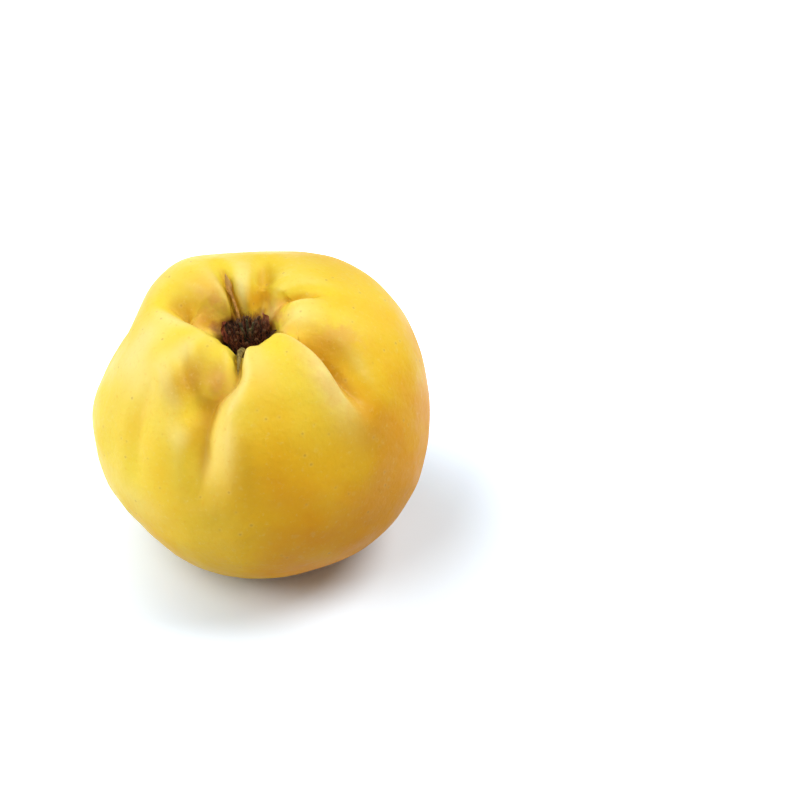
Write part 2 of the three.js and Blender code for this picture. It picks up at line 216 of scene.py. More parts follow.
RUBBED_BREAK = (0.35, 0.6)              # the noise's span over which rubbing sets in
PORES = 330.0                           # to the metre
PORE_SCATTER = 0.9                      # 0 would set them in even rows
PORE_DOT = (0.16, 0.07)                 # where it sets in and is full, in spacings from its middle
PORE_RING = (0.34, 0.16)                # the same
PORES_PRESENT = (0.45, 0.62)            # the noise's span over which pores set in
DOT_SHARE = 0.30
RING_SHARE = 0.10
PORE_DEPTH = -0.10                      # in heights of the leather's grain
LEATHER_RELIEF = 0.0004                 # metres, the height of its grain
LEATHER_STRENGTH = 0.6
GLOSS_SPAN = (0.3, 0.7, 0.40, 0.58)     # of the noise, and of the roughness that it gives


def smoothstep(x, low, high):
    """0 below low, 1 above high, and the cubic 3t^2 - 2t^3 between them."""
    t = np.clip((x - low) / (high - low), 0, 1)
    return t * t * (3 - 2 * t)


def bell(x):
    """exp(-x^2): 1 in the middle, falling to nearly nothing at 2."""
    return np.exp(-x * x)


def unit(vectors):
    """The vectors, each divided by its length."""
    return vectors / np.linalg.norm(vectors, axis=-1, keepdims=True)


def turn_between(start, end):
    """Degrees from one azimuth to another, between -180 and 180."""
    return (end - start + 180) % 360 - 180


def patch(azimuth, distance, at, along, half_width, half_length):
    """A soft patch of the skin: a bell round the fruit times a bell along the skin."""
    return bell(turn_between(at, azimuth) / half_width) * bell((distance - along) / half_length)


def uneven(points, size, seed, waves=14):
    """Smooth random height between about -1 and 1, with bumps about 'size' across.

    It is a sum of cosines of the place along random directions, each of a random wavelength.
    """
    rng = np.random.default_rng(seed)
    direction = unit(rng.normal(size=(waves, 3)))
    pitch = 2 * math.pi / (size * rng.uniform(*WAVELENGTHS, (waves, 1)))
    phase = rng.uniform(0, 2 * math.pi, waves)
    added = np.cos(points @ (direction * pitch).T + phase).sum(-1)
    return added * math.sqrt(2 / waves) / HIGHEST


def catmull_rom(points, per_span=60, round_trip=False):
    """Curve through the points: a cubic between each two, whose slope at a point is half the step
    between its two neighbours. An open curve takes a straight step on past its ends."""
    if round_trip:
        around = np.vstack([points[-1:], points, points[:2]])
    else:
        around = np.vstack([2 * points[0] - points[1], points, 2 * points[-1] - points[-2]])
    a, b, c, d = (around[i:len(around) - 3 + i, None] for i in range(4))
    t = np.linspace(0, 1, per_span, endpoint=False)[None, :, None]
    span = b + 0.5 * t * (c - a + t * (2 * a - 5 * b + 4 * c - d + t * (3 * (b - c) + d - a)))
    end = points[:1] if round_trip else points[-1:]
    return np.vstack([span.reshape(-1, points.shape[1]), end])


def spread_evenly(curve, shares):
    """The places on a curve at those shares of its length, and the curve's whole length."""
    steps = np.linalg.norm(np.diff(curve, axis=0), axis=1)
    along = np.concatenate([[0], np.cumsum(steps)])
    wanted = shares * along[-1]
    return np.stack([np.interp(wanted, along, axis) for axis in curve.T], -1), along[-1]


def mean_section(shares):
    """Places of the mean section at shares of the skin's length, their outward directions, and
    that length. The section and its mirror image make one closed curve, and the outward direction
    is square to the step between two places just ahead and behind."""
    mirrored = SECTION[-2:0:-1] * (-1, 1)
    loop = catmull_rom(np.vstack([SECTION, mirrored]), round_trip=True)
    place, around = spread_evenly(loop, shares / 2)
    ahead, _ = spread_evenly(loop, (shares / 2 + SECTION_STEP) % 1)
    behind, _ = spread_evenly(loop, (shares / 2 - SECTION_STEP) % 1)
    run = unit(ahead - behind)
    outward = np.stack([-run[:, 1], run[:, 0]], -1)
    return place, outward, around / 2


def wander(furrow, distance):
    """How far a furrow has turned about the axis, at a distance, from the azimuth it is given."""
    turned = furrow.get("drift", 0) * (distance - REFERENCE) / 10
    return turned + furrow.get("swing", 0) * smoothstep(distance, *furrow.get("bend", (0, 1)))


def column_azimuth(column, distance):
    """Azimuth of a column of the grid, 0 to 1 round, bent to run along the winding front furrow."""
    even = column * 360
    crowded = even - np.degrees(CROWDING * np.sin(np.radians(even - CROWDED_AT)))
    near = bell(turn_between(FURROWS[0]["azimuth"], crowded) / FOLLOWING)
    return crowded + wander(FURROWS[0], distance) * near


def furrow_profile(across, straight, blunt):
    """Depth across a furrow, 1 at its line, at a number of widths from it.

    A curved bank is exp(-across^FLARE) and a plain one 1 - across with a rounded end.
    """
    rounded = np.hypot(across, blunt) - blunt
    plain = 1 - rounded + np.hypot(1 - rounded, BANK_ROUNDING)
    plain = plain / (1 + math.hypot(1, BANK_ROUNDING))
    return (1 - straight) * np.exp(-rounded ** FLARE) + straight * plain


def relief(distance, azimuth, radius):
    """Height of the skin over the mean section.

    Each furrow takes away its depth times its profile, and adds a bell for its lip, wider outwards;
    each swelling adds a patch; the levelling adds a slope across the stem end.
    """
    height = np.zeros(np.broadcast(distance, azimuth).shape)
    for furrow in FURROWS:
        line = furrow["azimuth"] + wander(furrow, distance)
        offset = np.radians(turn_between(line, azimuth)) * np.maximum(radius, LEAST_RADIUS)
        pinches = [low + (1 - low) * smoothstep(distance, near, far)
                   for low, near, far in furrow.get("pinch", PINCH)]
        none = (0, 0)
        pairs = furrow["width"], furrow.get("lip", none), furrow.get("straight", none), pinches
        width, lip, straight, pinched = (np.where(offset < 0, *pair) for pair in pairs)
        across = np.abs(offset) / (width * pinched)
        start, full, fading, end = furrow["reach"]
        present = smoothstep(distance, start, full) * (1 - smoothstep(distance, fading, end))
        cut = furrow["depth"] * furrow_profile(across, straight, furrow["blunt"])
        past_lip = across - (LIP_BY_CURVE + (LIP_BY_SLOPE - LIP_BY_CURVE) * straight)
        spread = np.where(past_lip < 0, LIP_WIDTH, LIP_SPREAD)
        height += present * (pinched * lip * bell(past_lip / spread) - cut)
    for *place, swell in SWELLINGS:
        height += swell * patch(azimuth, distance, *place)
    at, along, half_length, slope = LEVELLING
    tilted = slope * radius * np.cos(np.radians(azimuth - at))
    return height + tilted * bell((distance - along) / half_length)


def leaning(points):
    """Millimetres about the fruit's own axis, turned and moved to where it rests, in metres."""
    left, forward = math.radians(TILT_LEFT), math.radians(TILT_FORWARD)
    to_calyx = np.array([-math.sin(left), -math.sin(forward), 0])
    to_calyx[2] = math.sqrt(1 - to_calyx @ to_calyx)
    to_right = unit(np.array([1.0, 0, 0]) - to_calyx[0] * to_calyx)
    to_back = np.cross(to_calyx, to_right)
    return (points @ np.array([to_right, to_back, to_calyx]) + CENTRE) * MM


def new_object(name, data):
    """An object in the scene with that mesh, lamp or camera."""
    made = bpy.data.objects.new(name, data)
    bpy.context.scene.collection.objects.link(made)
    return made


def closed_mesh(name, rings):
    """Object whose smooth surface runs through the rings, an array (rings, round, 3) in metres.

    The first and the last ring are drawn to a point. Neighbouring rings are joined by quads and the
    two points by fans of triangles, all turned outwards for rings that go round by the right hand
    against the way they follow each other.
    """
    count, around = rings.shape[:2]
    inner = rings[1:-1].reshape(-1, 3)
    points = np.vstack([rings[0].mean(0), inner, rings[-1].mean(0)])
    column = np.arange(around)
    following = (column + 1) % around
    low = np.arange(count - 3)[:, None] * around + 1
    high = low + around
    last = (count - 3) * around + 1
    quads = np.stack([low + column, high + column, high + following, low + following], -1)
    start = np.stack([0 * column, 1 + column, 1 + following], -1)
    end = np.stack([0 * column + len(points) - 1, last + following, last + column], -1)
    faces = quads.reshape(-1, 4).tolist() + start.tolist() + end.tolist()
    mesh = bpy.data.meshes.new(name)
    mesh.from_pydata(points.tolist(), [], faces)
    mesh.shade_smooth()
    return new_object(name, mesh)


def give_attribute(piece, name, rings):
    """Stores one number for each point of a closed_mesh, from an array (rings, round)."""
    values = np.concatenate([[rings[0].mean()], rings[1:-1].ravel(), [rings[-1].mean()]])
    piece.data.attributes.new(name, "FLOAT", "POINT").data.foreach_set("value", values)


def node(tree, kind, inputs=None, **settings):
    """Adds a node with those settings. Each input is a plain value, or a socket to link from."""
    made = tree.nodes.new("ShaderNode" + kind)
    for name, value in settings.items():
        setattr(made, name, value)
    for name, value in (inputs or {}).items():
        if isinstance(value, bpy.types.NodeSocket):
            tree.links.new(value, made.inputs[name])
        else:
            made.inputs[name].default_value = value
    return made


def attribute(tree, name):
    """The socket with the number that the piece stores under that name."""
    return node(tree, "Attribute", attribute_name=name).outputs["Fac"]


def noise(tree, where, scale, detail=3, roughness=0.55):
    """The socket of a noise of that many bumps to the metre."""
    inputs = {"Vector": where, "Scale": scale, "Detail": detail, "Roughness": roughness}
    return node(tree, "TexNoise", inputs).outputs["Fac"]


def ranged(tree, value, low, high, to_low=0.0, to_high=1.0):
    """The socket of a value whose span from low to high is spread, smoothly, over another."""
    inputs = {"Value": value, "From Min": low, "From Max": high,
              "To Min": to_low, "To Max": to_high}
    return node(tree, "MapRange", inputs, interpolation_type="SMOOTHSTEP").outputs["Result"]


def worked(tree, operation, *values):
    """The socket of that operation on the values, each a number or a socket."""
    return node(tree, "Math", dict(enumerate(values)), operation=operation).outputs[0]


def mixed(tree, share, first, second):
    """The socket of the first colour with that share of the second, each a colour or a socket."""
    return node(tree, "Mix", {0: share, 6: first, 7: second}, data_type="RGBA").outputs[2]


def toned(tree, colour, value, tones):
    """The socket of the colour with the tones laid over it, each by its own span of the value."""
    for start, full, share, tone in tones:
        colour = mixed(tree, ranged(tree, value, start, full, 0, share), colour, tone)
    return colour


def material(name):
    """A new material, its tree and its Principled shader."""
    made = bpy.data.materials.new(name)
    made.use_nodes = True
    return made, made.node_tree, made.node_tree.nodes["Principled BSDF"]


def softened(values, passes):
    """The values of the grid after that many passes of a 1 2 1 average, round it and along it."""
    for _ in range(passes):
        values = (2 * values + np.roll(values, 1, 1) + np.roll(values, -1, 1)) / 4
        beyond = np.vstack([values[:1], values, values[-1:]])
        values = (2 * values + beyond[:-2] + beyond[2:]) / 4
    return values


def skin_material():
    """Waxy yellow skin, lemon at the upper left and golden at the lower right, where the gold is
    partly painted shade, with its marks, painted highlights and painted shade.
    """
    made, tree, shader = material("quince_skin")
    place = node(tree, "TexCoord").outputs["Object"]
    # from the pale upper left side over yellow to the golden lower right one, whose gold is partly
    # painted shade, mottled and streaked
    slope = node(tree, "VectorMath", {0: place, 1: GOLDEN_AND_SHADED_SIDE}, operation="DOT_PRODUCT")
    ripeness_and_shade = worked(tree, "ADD", slope.outputs["Value"], noise(tree, place, *MOTTLE_NOISE))
    streaks = worked(tree, "MULTIPLY", attribute(tree, "streak"), STREAK_SHARE)
    colour = toned(tree, LEMON, worked(tree, "ADD", ripeness_and_shade, streaks), RIPE_AND_SHADE_TONES)
    # painted highlight along the ridges and painted shade in the folds, then golden places that are
    # partly painted shade, places of painted shade and places of painted highlight
    colour = toned(tree, colour, attribute(tree, "ridge"), RIDGE_HIGHLIGHT_AND_SHADE_TONES)
    for name, tone in {"golden_and_shaded": GOLD, "painted_shade": DEEP_SHADE, "painted_highlight": PALE_AND_HIGHLIGHT}.items():
        colour = mixed(tree, attribute(tree, name), colour, tone)
    # pinkish-brown rubbed places, broken up by a fine noise
    broken = ranged(tree, noise(tree, place, *RUBBED_NOISE), *RUBBED_BREAK)
    rubbed = worked(tree, "MULTIPLY", attribute(tree, "rubbed"), broken)
    colour = mixed(tree, rubbed, colour, TAN)
    # fine flecks, paler and deeper, some 1 mm across
    colour = toned(tree, colour, noise(tree, place, *FLECK_NOISE), FLECK_TONES)
    # pores: small brownish dots some 3 mm apart, each with a faint pale ring
    cells = node(tree, "TexVoronoi", {"Vector": place, "Scale": PORES, "Randomness": PORE_SCATTER})
    dot = ranged(tree, cells.outputs["Distance"], *PORE_DOT)
    ring = ranged(tree, cells.outputs["Distance"], *PORE_RING)
    present = ranged(tree, noise(tree, place, *PORE_NOISE), *PORES_PRESENT)
    for mark, share, tone in ((ring, RING_SHARE, PALE_AND_HIGHLIGHT), (dot, DOT_SHARE, UMBER)):
        marked = worked(tree, "MULTIPLY", mark, present)
        colour = mixed(tree, worked(tree, "MULTIPLY", marked, share), colour, tone)
    # the calyx floor and the foot of its wall, dark and corky, reaching further out under painted
    # shade and less far under painted highlight
    wavering = noise(tree, place, *CORK_NOISE)
    edge = worked(tree, "MULTIPLY_ADD", wavering, CORK_WAVER, attribute(tree, "distance"))
    for name, moved in CORK_MOVED.items():
        edge = worked(tree, "MULTIPLY_ADD", attribute(tree, name), moved, edge)
    colour = toned(tree, colour, edge, CORK_TONES)
    tree.links.new(colour, shader.inputs["Base Color"])
    # a leathery skin with shallow pores, glossier where the wax is whole
    pitted = worked(tree, "MULTIPLY", dot, PORE_DEPTH)
    leather = worked(tree, "ADD", noise(tree, place, *LEATHER_NOISE), pitted)
    bump = node(tree, "Bump", {"Height": leather, "Strength": LEATHER_STRENGTH,
                               "Distance": LEATHER_RELIEF})
    tree.links.new(bump.outputs["Normal"], shader.inputs["Normal"])
    gloss = ranged(tree, noise(tree, place, *GLOSS_NOISE), *GLOSS_SPAN)
    tree.links.new(gloss, shader.inputs["Roughness"])
    shader.inputs["Specular IOR Level"].default_value = 0.22
    shader.inputs["Subsurface Weight"].default_value = 0.10
    shader.inputs["Subsurface Radius"].default_value = (1.0, 0.5, 0.1)
    shader.inputs["Subsurface Scale"].default_value = 0.003
    return made


def make_fruit():
    """The skin on a fine grid, from the calyx floor to the stem cavity, cut off flat at the ground.

    On the relief lie a slight unevenness and, round the calyx, puckers that run out from it. The
    ridges are the relief less its own average, and the streaks a random height drawn out along
    the skin.
    """
    shares = np.linspace(0, 1, ROWS) ** ROW_POWER
    mean, outward, skin_length = mean_section(shares)
    distance = shares[:, None] * skin_length
    azimuth = column_azimuth(np.arange(COLUMNS)[None, :] / COLUMNS, distance)
    angle = np.radians(azimuth)
    height = relief(distance, azimuth, mean[:, :1])
    ridge = (height - softened(height, RIDGE_PASSES)) * smoothstep(distance, *RIDGE_START)
    round_it = np.stack([np.cos(angle), np.sin(angle), 0 * angle], -1)
    evenly = round_it * mean[:, :1, None] + (0, 0, 1) * mean[:, None, 1:]
    height += sum(high * uneven(evenly, size, seed) for high, size, seed in UNEVENNESS)
    high, size, seed = PUCKERS
    middle, half_length = PUCKER_RING
    puckered = high * uneven(PUCKER_CIRCLE * round_it, size, seed)
    height += puckered * bell((distance - middle) / half_length)
    height[[0, -1]] = 0
    radius = mean[:, :1] + outward[:, :1] * height
    upward = mean[:, 1:] + outward[:, 1:] * height
    placed = leaning(radius[..., None] * round_it + (0, 0, 1) * upward[..., None])
    placed[..., 2] = np.maximum(placed[..., 2], 0)
    fruit = closed_mesh("fruit_skin", placed)
    drawn_out = STREAK_CIRCLE * round_it + (0, 0, STREAK_LENGTHENING) * distance[..., None]
    values = {"distance": distance + 0 * azimuth, "ridge": ridge,
              "streak": uneven(drawn_out, *STREAKS)}
    for name, places in PLACES.items():
        shade = sum(share * patch(azimuth, distance, *place) for *place, share in places)
        values[name] = np.minimum(shade, MOST_SHARE)
    for name, value in values.items():
        give_attribute(fruit, name, value)
    fruit.data.materials.append(skin_material())
    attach(fruit, "root")
    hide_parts("quince_fruit")


make_fruit()

# ---------------------------------------------------------------- the sepals

# What is left of the flower's cup: five leathery, withered sepals that still grow from the rim of
# the calyx floor. An olive one hangs over the front furrow, a thin brown one stands up in the back
# furrow, and the three others, dark or reddish, close in over the calyx.

# Each is a strand, a section carried along a line, whose places are given as distance from the
# fruit's own axis and height along it. 'foot' is the share of its width that a twisted one begins
# with, 'turned' the degrees that it is twisted there, and 'tip' the colour of its tip.
SEPALS = [
    dict(azimuth=266, half_width=1.2, dark=(0.070, 0.050, 0.016), light=(0.36, 0.27, 0.080),
         line=[(4.9, 29.3), (6.2, 31.2), (7.8, 33.8), (9.9, 36.1), (12.4, 36.9), (15.2, 36.0),
               (17.8, 34.7)]),
    dict(azimuth=113, half_width=1.7, dark=(0.33, 0.15, 0.030), light=(0.62, 0.33, 0.085),
         line=[(5.3, 29.7), (6.3, 31.9), (8.2, 34.6), (10.6, 37.0), (12.4, 39.2), (13.9, 40.7)],
         foot=0.4, turned=80, tip=(0.56, 0.33, 0.095)),
    dict(azimuth=182, half_width=2.0, dark=(0.070, 0.014, 0.009), light=(0.30, 0.080, 0.038),
         line=[(4.6, 29.3), (5.5, 31.4), (5.9, 33.4), (5.7, 35.0), (4.9, 36.2)]),
    dict(azimuth=42, half_width=1.9, dark=(0.090, 0.028, 0.016), light=(0.36, 0.14, 0.070),
         line=[(4.6, 29.3), (5.4, 31.2), (5.8, 32.9), (5.8, 34.1), (5.2, 34.9)]),
    dict(azimuth=345, half_width=1.4, dark=(0.012, 0.006, 0.003), light=(0.070, 0.032, 0.014),
         line=[(4.7, 29.3), (5.5, 31.0), (6.3, 32.6), (7.1, 33.9), (8.1, 34.6)]),
]
SEPAL_GRID = (96, 28)                   # rows along it and columns round it
SEPAL_HALF_THICKNESS = 0.3
SEPAL_CUP = 0.5
SEPAL_EASING = (0.5, 0.8)               # shares of the length over which a foot ends
SEPAL_POINT = (2.4, 0.8)                # powers of the outline's taper to its tip
SEPAL_TIP_POWER = 6                     # of the rounding of its thickness there
SEPAL_WITHERED = 0.8                    # share of the thickness left in the middle
SEPAL_EDGE = 0.45                       # and lost from that on the way to the edges
SEPAL_TEETH = 9                         # along each edge
TOOTH_DEPTH = 0.22                      # of the half-width
TOOTH_POWER = 3                         # keeps the teeth to the edges
TOOTH_STEP = 0.3                        # shares of a tooth from one sepal to the next
WAVE_HEIGHT = 0.16
WAVES = 2.3                             # in its length
WAVE_STEP = 0.37                        # shares of a wave from one sepal to the next
MIDRIB_HEIGHT = 0.14
MIDRIB_WIDTH = 0.16                     # of the half-width
FOOT_POWER = 8                          # how abruptly a strand is rounded at its foot

# dried tissue: heights count for this share in its noise, which draws the fibres out upwards
FIBRE_HEIGHT = 0.22
FIBRE_NOISE = (3, 0.6)                  # levels of detail and roughness
BLOTCH_NOISE = (620, 2)                 # bumps to the metre and levels of detail
LIGHT_SPAN = (0.72, 1.28)               # of the sum of both noises, from dark to light
FINE_FIBRES = 2200.0                    # to the metre
FIBRE_RELIEF = 0.0002                   # metres, the height of the fibres
FIBRE_STRENGTH = 0.6
TIP_SPAN = (0.66, 0.86)                 # shares of the length where a tip's colour sets in


def radial_line(azimuth, line, shares, drift=0):
    """Places at shares of the length of a curve in the half plane of an azimuth, which turns by
    'drift' degrees about the axis by its tip."""
    line = np.array(line)
    angle = np.radians(azimuth + drift * np.linspace(0, 1, len(line)))
    knots = np.stack([line[:, 0] * np.cos(angle), line[:, 0] * np.sin(angle), line[:, 1]], -1)
    return spread_evenly(catmull_rom(knots), shares)[0]


def sideways(azimuth):
    """The level direction square to an azimuth: minus its sine, and its cosine."""
    return np.array([-math.sin(math.radians(azimuth)), math.cos(math.radians(azimuth)), 0])


def all_round(columns):
    """Angles of a section's columns, which go round clockwise seen from the strand's tip."""
    return np.linspace(0, -2 * math.pi, columns, endpoint=False)


def strand(name, line, across, half_width, half_depth, lift=0):
    """A closed strand along a line of places, with an oval section at each.

    'across' is the direction of the width. half_width, half_depth and lift, which shifts the
    section square to the line and its width, are in mm; the first is (rows, columns).
    """
    outward = unit(np.cross(unit(np.gradient(line, axis=0)), across))
    angle = all_round(half_width.shape[1])
    x, y = np.cos(angle) * half_width, np.sin(angle) * half_depth + lift
    rings = line[:, None] + x[..., None] * across[:, None] + y[..., None] * outward[:, None]
    return closed_mesh(name, leaning(rings))


def drawn_in(u, tip_power):
    """1 along most of a strand, rounded off to 0 at its foot and its tip: the root of
    1 - (1 - u)^FOOT_POWER times the root of 1 - u^tip_power."""
    return np.sqrt(1 - (1 - u) ** FOOT_POWER) * np.sqrt(1 - u ** tip_power)


def dried_group():
    """Node group for dried plant tissue: fibres that run up, and blotches, between two colours."""
    group = bpy.data.node_groups.new("dried_tissue", "ShaderNodeTree")
    for name, way, kind in (("Dark", "INPUT", "Color"), ("Light", "INPUT", "Color"),
                            ("Fibres", "INPUT", "Float"), ("Colour", "OUTPUT", "Color"),
                            ("Height", "OUTPUT", "Float")):
        group.interface.new_socket(name, in_out=way, socket_type="NodeSocket" + kind)
    given = group.nodes.new("NodeGroupInput").outputs
    result = group.nodes.new("NodeGroupOutput").inputs
    place = node(group, "TexCoord").outputs["Object"]
    drawn_out = node(group, "VectorMath", {0: place, 1: (1, 1, FIBRE_HEIGHT)}, operation="MULTIPLY")
    fibres = noise(group, drawn_out.outputs[0], given["Fibres"], *FIBRE_NOISE)
    both = worked(group, "ADD", fibres, noise(group, place, *BLOTCH_NOISE))
    colour = mixed(group, ranged(group, both, *LIGHT_SPAN), given["Dark"], given["Light"])
    group.links.new(colour, result["Colour"])
    group.links.new(fibres, result["Height"])
    return group


def dried_material(name, dark, light, tip=None, fibres=FINE_FIBRES):
    """Matt dried tissue, and a colour of its own towards the tip."""
    made, tree, shader = material(name)
    tissue = node(tree, "Group", node_tree=DRIED)
    tissue.inputs["Dark"].default_value = (*dark, 1)
    tissue.inputs["Light"].default_value = (*light, 1)
    tissue.inputs["Fibres"].default_value = fibres
    colour = tissue.outputs["Colour"]
    if tip:
        tip_share = ranged(tree, attribute(tree, "along"), *TIP_SPAN)
        colour = mixed(tree, tip_share, colour, (*tip, 1))
    tree.links.new(colour, shader.inputs["Base Color"])
    bump = node(tree, "Bump", {"Height": tissue.outputs["Height"], "Strength": FIBRE_STRENGTH,
                               "Distance": FIBRE_RELIEF})
    tree.links.new(bump.outputs["Normal"], shader.inputs["Normal"])
    shader.inputs["Roughness"].default_value = 0.85
    shader.inputs["Specular IOR Level"].default_value = 0.10
    return made


def make_sepal(number, azimuth, half_width, line, dark, light, foot=1, turned=0, tip=None):
    """A leaf with toothed, wavy edges and a midrib, cupped, and twisted at its foot by 'turned'.

    Its outline is its half-width times the root of 1 - (1 - u)^FOOT_POWER and times 1 - u to the
    powers of SEPAL_POINT, less a sawtooth; its lift is a sine along it times the place across, a
    bell for the midrib, and less the square of the place across.
    """
    rows, columns = SEPAL_GRID
    u = np.linspace(0, 1, rows)[:, None]
    middle = radial_line(azimuth, line, u[:, 0])
    along = unit(np.gradient(middle, axis=0))
    side = sideways(azimuth)
    turn = np.radians(turned) * (1 - smoothstep(u, *SEPAL_EASING))
    across = np.cos(turn) * side + np.sin(turn) * np.cross(along, side)
    inner, outer = SEPAL_POINT
    width = half_width * (foot + (1 - foot) * smoothstep(u, *SEPAL_EASING))
    width = width * np.sqrt(1 - (1 - u) ** FOOT_POWER) * (1 - u ** inner) ** outer
    over = np.cos(all_round(columns))
    tooth = (u * SEPAL_TEETH + TOOTH_STEP * number) % 1
    toothed = width * (1 - TOOTH_DEPTH * tooth * np.abs(over) ** TOOTH_POWER)
    wave = WAVE_HEIGHT * np.sin(2 * math.pi * (WAVES * u + WAVE_STEP * number)) * over
    rib = MIDRIB_HEIGHT * bell(over / MIDRIB_WIDTH) * (1 - u)
    lift = (wave + rib - SEPAL_CUP * over ** 2) * np.minimum(width, 1)
    depth = SEPAL_WITHERED * SEPAL_HALF_THICKNESS * drawn_in(u, SEPAL_TIP_POWER)
    depth = depth * (1 - SEPAL_EDGE * over ** 2)
    sepal = strand(f"sepal_{number}_leaf", middle, across, toothed, depth, lift)
    give_attribute(sepal, "along", u + 0 * over)
    sepal.data.materials.append(dried_material(f"sepal_{number}_dry", dark, light, tip))
    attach(sepal, "root")
    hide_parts(f"sepal_{number}")


DRIED = dried_group()
for sepal_index, sepal_values in enumerate(SEPALS):
    make_sepal(sepal_index + 1, **sepal_values)

# ---------------------------------------------------------------- the stamens

# Twenty stamens in two rings, every second one in each, grown from the calyx floor inside the
# sepals. Each is a thin filament, bent and brittle by now, that ends in a shrivelled anther of
# two lobes.

STAMENS = 20
STAMEN_RINGS = [
    [(2.7, 28.5), (2.9, 31.1), (2.7, 33.0), (3.0, 34.7)],
    [(3.9, 28.6), (4.2, 30.8), (4.4, 32.4), (4.7, 33.7)],
]
STAMEN_GRID = (44, 12)                  # rows along it and columns round it
STAMEN_UNEVENNESS = 0.5                 # of their heights
STAMEN_DRIFT = 4                        # degrees that one bends to either side
# radians from one stamen to the next, in the waves that set its height, its bend and the side
# that its lobes face
STAMEN_WAVE = {"height": 2.4, "bend": 1.7, "side": 1.3}
KINK_HEIGHT = 0.14
KINKS = (9, 7)                          # radians in its length, to the right and back
KINK_STEP = (1, 2)                      # and from one stamen to the next
FILAMENT_RADIUS = 0.22
ANTHER_RADIUS = 0.50
ANTHER_AT = 0.9                         # share of the filament's length
ANTHER_HALF_LENGTH = 0.085
ANTHER_LOBE = 0.22                      # share of the radius
ANTHER_SHRIVEL = 0.10
SHRIVEL_FOLDS = 3                       # round it
SHRIVEL_TWIST = 23                      # radians that they turn in the stamen's length
STAMEN_TIP_POWER = 12
STAMEN_DARK = (0.040, 0.012, 0.007)
STAMEN_LIGHT = (0.24, 0.085, 0.042)
ANTHER_COLOUR = (0.10, 0.048, 0.024)


def make_stamen(index, dry):
    """A filament with an anther: its radius is the filament's, with a bell for the anther, times
    a wave of two lobes and a wave of folds; its line has a kink, a sine that fades to its ends."""
    rows, columns = STAMEN_GRID
    u = np.linspace(0, 1, rows)[:, None]
    ring = STAMEN_RINGS[index % len(STAMEN_RINGS)]
    rise = STAMEN_UNEVENNESS * math.sin(index * STAMEN_WAVE["height"])
    line = [(distance, height + rise * i / (len(ring) - 1))
            for i, (distance, height) in enumerate(ring)]
    drift = STAMEN_DRIFT * math.sin(index * STAMEN_WAVE["bend"])
    middle = radial_line(index * 360 / STAMENS, line, u[:, 0], drift)
    to_right = np.sin(KINKS[0] * u[:, 0] + KINK_STEP[0] * index)
    to_back = np.cos(KINKS[1] * u[:, 0] + KINK_STEP[1] * index)
    kink = np.stack([to_right, to_back, 0 * u[:, 0]], -1)
    middle = middle + KINK_HEIGHT * kink * np.sin(math.pi * u) ** 2
    facing = index * STAMEN_WAVE["side"]
    side = unit(np.array([math.cos(facing), math.sin(facing), 0.0]) + 0 * middle)
    anther = bell((u - ANTHER_AT) / ANTHER_HALF_LENGTH)
    around = all_round(columns)
    lobes = 1 + ANTHER_LOBE * anther * np.cos(2 * around)
    folds = np.sin(SHRIVEL_FOLDS * around + SHRIVEL_TWIST * u + index)
    radius = FILAMENT_RADIUS + (ANTHER_RADIUS - FILAMENT_RADIUS) * anther
    thick = drawn_in(u, STAMEN_TIP_POWER) * radius * lobes * (1 + ANTHER_SHRIVEL * anther * folds)
    name = f"stamen_{index + 1:02d}"
    stamen = strand(name + "_dry", middle, side, thick, thick)
    give_attribute(stamen, "along", u + 0 * around)
    stamen.data.materials.append(dry)
    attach(stamen, "root")
    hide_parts(name)


stamen_dry = dried_material("stamen_dry", STAMEN_DARK, STAMEN_LIGHT, ANTHER_COLOUR)
for stamen_index in range(STAMENS):
    make_stamen(stamen_index, stamen_dry)

# ---------------------------------------------------------------- the styles

# Five styles, dried hard, that stand close together in the middle of the stamens. Each is ridged
# along its length, and wider at its stigma.

STYLES = 5
FIRST_STYLE = 18                        # azimuth
STYLE_LINE = [(1.1, 28.4), (1.15, 31.0), (1.5, 33.4), (1.9, 35.0)]
STYLE_GRID = (40, 14)                   # rows along it and columns round it
STYLE_RADIUS = 0.40
STYLE_SHAFT = 0.80                      # share of the radius below the stigma
STIGMA_SWELLING = 0.28                  # and the share that the stigma adds
STIGMA_AT = 0.93                        # share of the style's length
STIGMA_HALF_LENGTH = 0.07
STYLE_RIDGES = 5
STYLE_TWIST = 4                         # radians that they turn in the style's length
RIDGE_HEIGHT = 0.10                     # share of the radius
STYLE_TIP_POWER = 10
STYLE_DARK = (0.040, 0.034, 0.017)
STYLE_LIGHT = (0.16, 0.13, 0.065)


def make_style(index, dry):
    """A style: its radius is the shaft's, with a bell for the stigma, times a wave of ridges."""
    rows, columns = STYLE_GRID
    u = np.linspace(0, 1, rows)[:, None]
    azimuth = FIRST_STYLE + index * 360 / STYLES
    middle = radial_line(azimuth, STYLE_LINE, u[:, 0])
    side = unit(sideways(azimuth) + 0 * middle)
    swollen = STYLE_SHAFT + STIGMA_SWELLING * bell((u - STIGMA_AT) / STIGMA_HALF_LENGTH)
    turned = STYLE_RIDGES * all_round(columns) + STYLE_TWIST * u + index
    ridges = 1 + RIDGE_HEIGHT * np.cos(turned)
    thick = STYLE_RADIUS * drawn_in(u, STYLE_TIP_POWER) * swollen * ridges
    style = strand(f"style_{index + 1}_dry", middle, side, thick, thick)
    style.data.materials.append(dry)
    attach(style, "root")
    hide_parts(f"style_{index + 1}")


style_dry = dried_material("style_dry", STYLE_DARK, STYLE_LIGHT)
for style_index in range(STYLES):
    make_style(style_index, style_dry)

# ---------------------------------------------------------------- the down

# Dried hairs that fill the calyx between the stamens and styles. They stand on its floor, lean
# and curl every way, and thin out to their tips.

